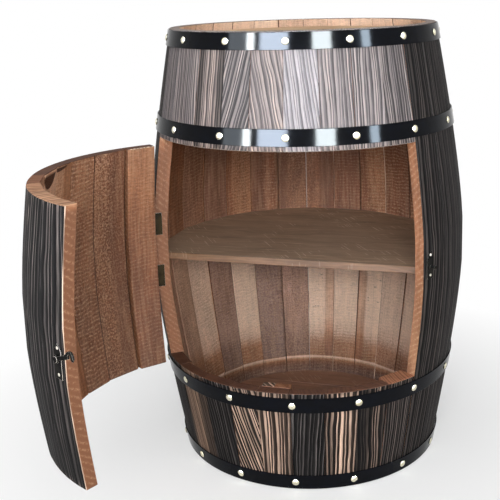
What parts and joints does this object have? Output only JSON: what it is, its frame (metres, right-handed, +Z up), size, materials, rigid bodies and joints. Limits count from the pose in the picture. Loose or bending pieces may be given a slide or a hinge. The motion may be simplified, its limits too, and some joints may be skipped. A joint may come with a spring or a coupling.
{
  "type": "barrel bar cabinet",
  "caption": "Coopered barrel standing on end, with a curved hinged door cut from its front staves, a shelf inside, steel hoops and a hook latch.",
  "frame": {"origin": "centre of the bottom board's underside, on the barrel's axis, at floor level", "axes": "+Z up along the barrel's axis; -Y points out through the middle of the doorway; +X to the right of someone facing the doorway"},
  "size_m": [0.4742, 0.725, 0.6],
  "materials": {
    "charred_pine": "charred, brushed and oiled",
    "stained_pine": "rough sawn and stained",
    "charred_head_pine": "charred, brushed and oiled",
    "shelf_pine": "dark stained, worn",
    "black_steel": "polished black",
    "aged_brass": "aged",
    "antique_nickel": "antique"
  },
  "bodies": {
    "case": {"stave_01": "charred_pine", "stave_02": "charred_pine", "stave_03": "charred_pine", "stave_04": "charred_pine", "stave_05": "charred_pine", "stave_06": "charred_pine", "stave_07": "charred_pine", "stave_08": "charred_pine", "stave_09": "charred_pine", "stave_10": "charred_pine", "stave_11": "charred_pine", "stave_12": "charred_pine", "stave_13": "charred_pine", "stave_14": "charred_pine", "stave_15": "charred_pine", "stave_16": "charred_pine", "stave_17": "charred_pine", "stave_18": "charred_pine", "top_stave_1": "charred_pine", "top_stave_2": "charred_pine", "top_stave_3": "charred_pine", "top_stave_4": "charred_pine", "top_stave_5": "charred_pine", "top_stave_6": "charred_pine", "top_stave_7": "charred_pine", "top_stave_8": "charred_pine", "top_stave_9": "charred_pine", "bottom_stave_1": "charred_pine", "bottom_stave_2": "charred_pine", "bottom_stave_3": "charred_pine", "bottom_stave_4": "charred_pine", "bottom_stave_5": "charred_pine", "bottom_stave_6": "charred_pine", "bottom_stave_7": "charred_pine", "bottom_stave_8": "charred_pine", "bottom_stave_9": "charred_pine", "top_head": "charred_head_pine", "bottom_board": "shelf_pine", "shelf": "shelf_pine", "sill_block": "stained_pine", "hoop_bottom": "black_steel", "hoop_lower": "black_steel", "hoop_upper": "black_steel", "hoop_top": "black_steel", "hinge_upper_case_leaf": "aged_brass", "hinge_lower_case_leaf": "aged_brass", "latch_keeper": "antique_nickel"},
    "door": {"door_stave_1": "charred_pine", "door_stave_2": "charred_pine", "door_stave_3": "charred_pine", "door_stave_4": "charred_pine", "door_stave_5": "charred_pine", "door_stave_6": "charred_pine", "door_stave_7": "charred_pine", "door_stave_8": "charred_pine", "door_stave_9": "charred_pine", "hinge_upper_door_leaf": "aged_brass", "hinge_lower_door_leaf": "aged_brass", "latch_plate": "antique_nickel"},
    "hook": {"latch_hook": "antique_nickel"}
  },
  "joints": [
    {"name": "door_swing", "type": "hinge", "parent": "case", "child": "door", "pos_m": [-0.18616, -0.12637, 0.3], "axis": [0, 0, -1], "range_deg": [-80.3, 70]},
    {"name": "hook_swing", "type": "hinge", "parent": "door", "child": "hook", "pos_m": [-0.13356, -0.48789, 0.297], "axis": [-0.4602, -0.8878, 0], "range_deg": [-20, 70]}
  ]
}
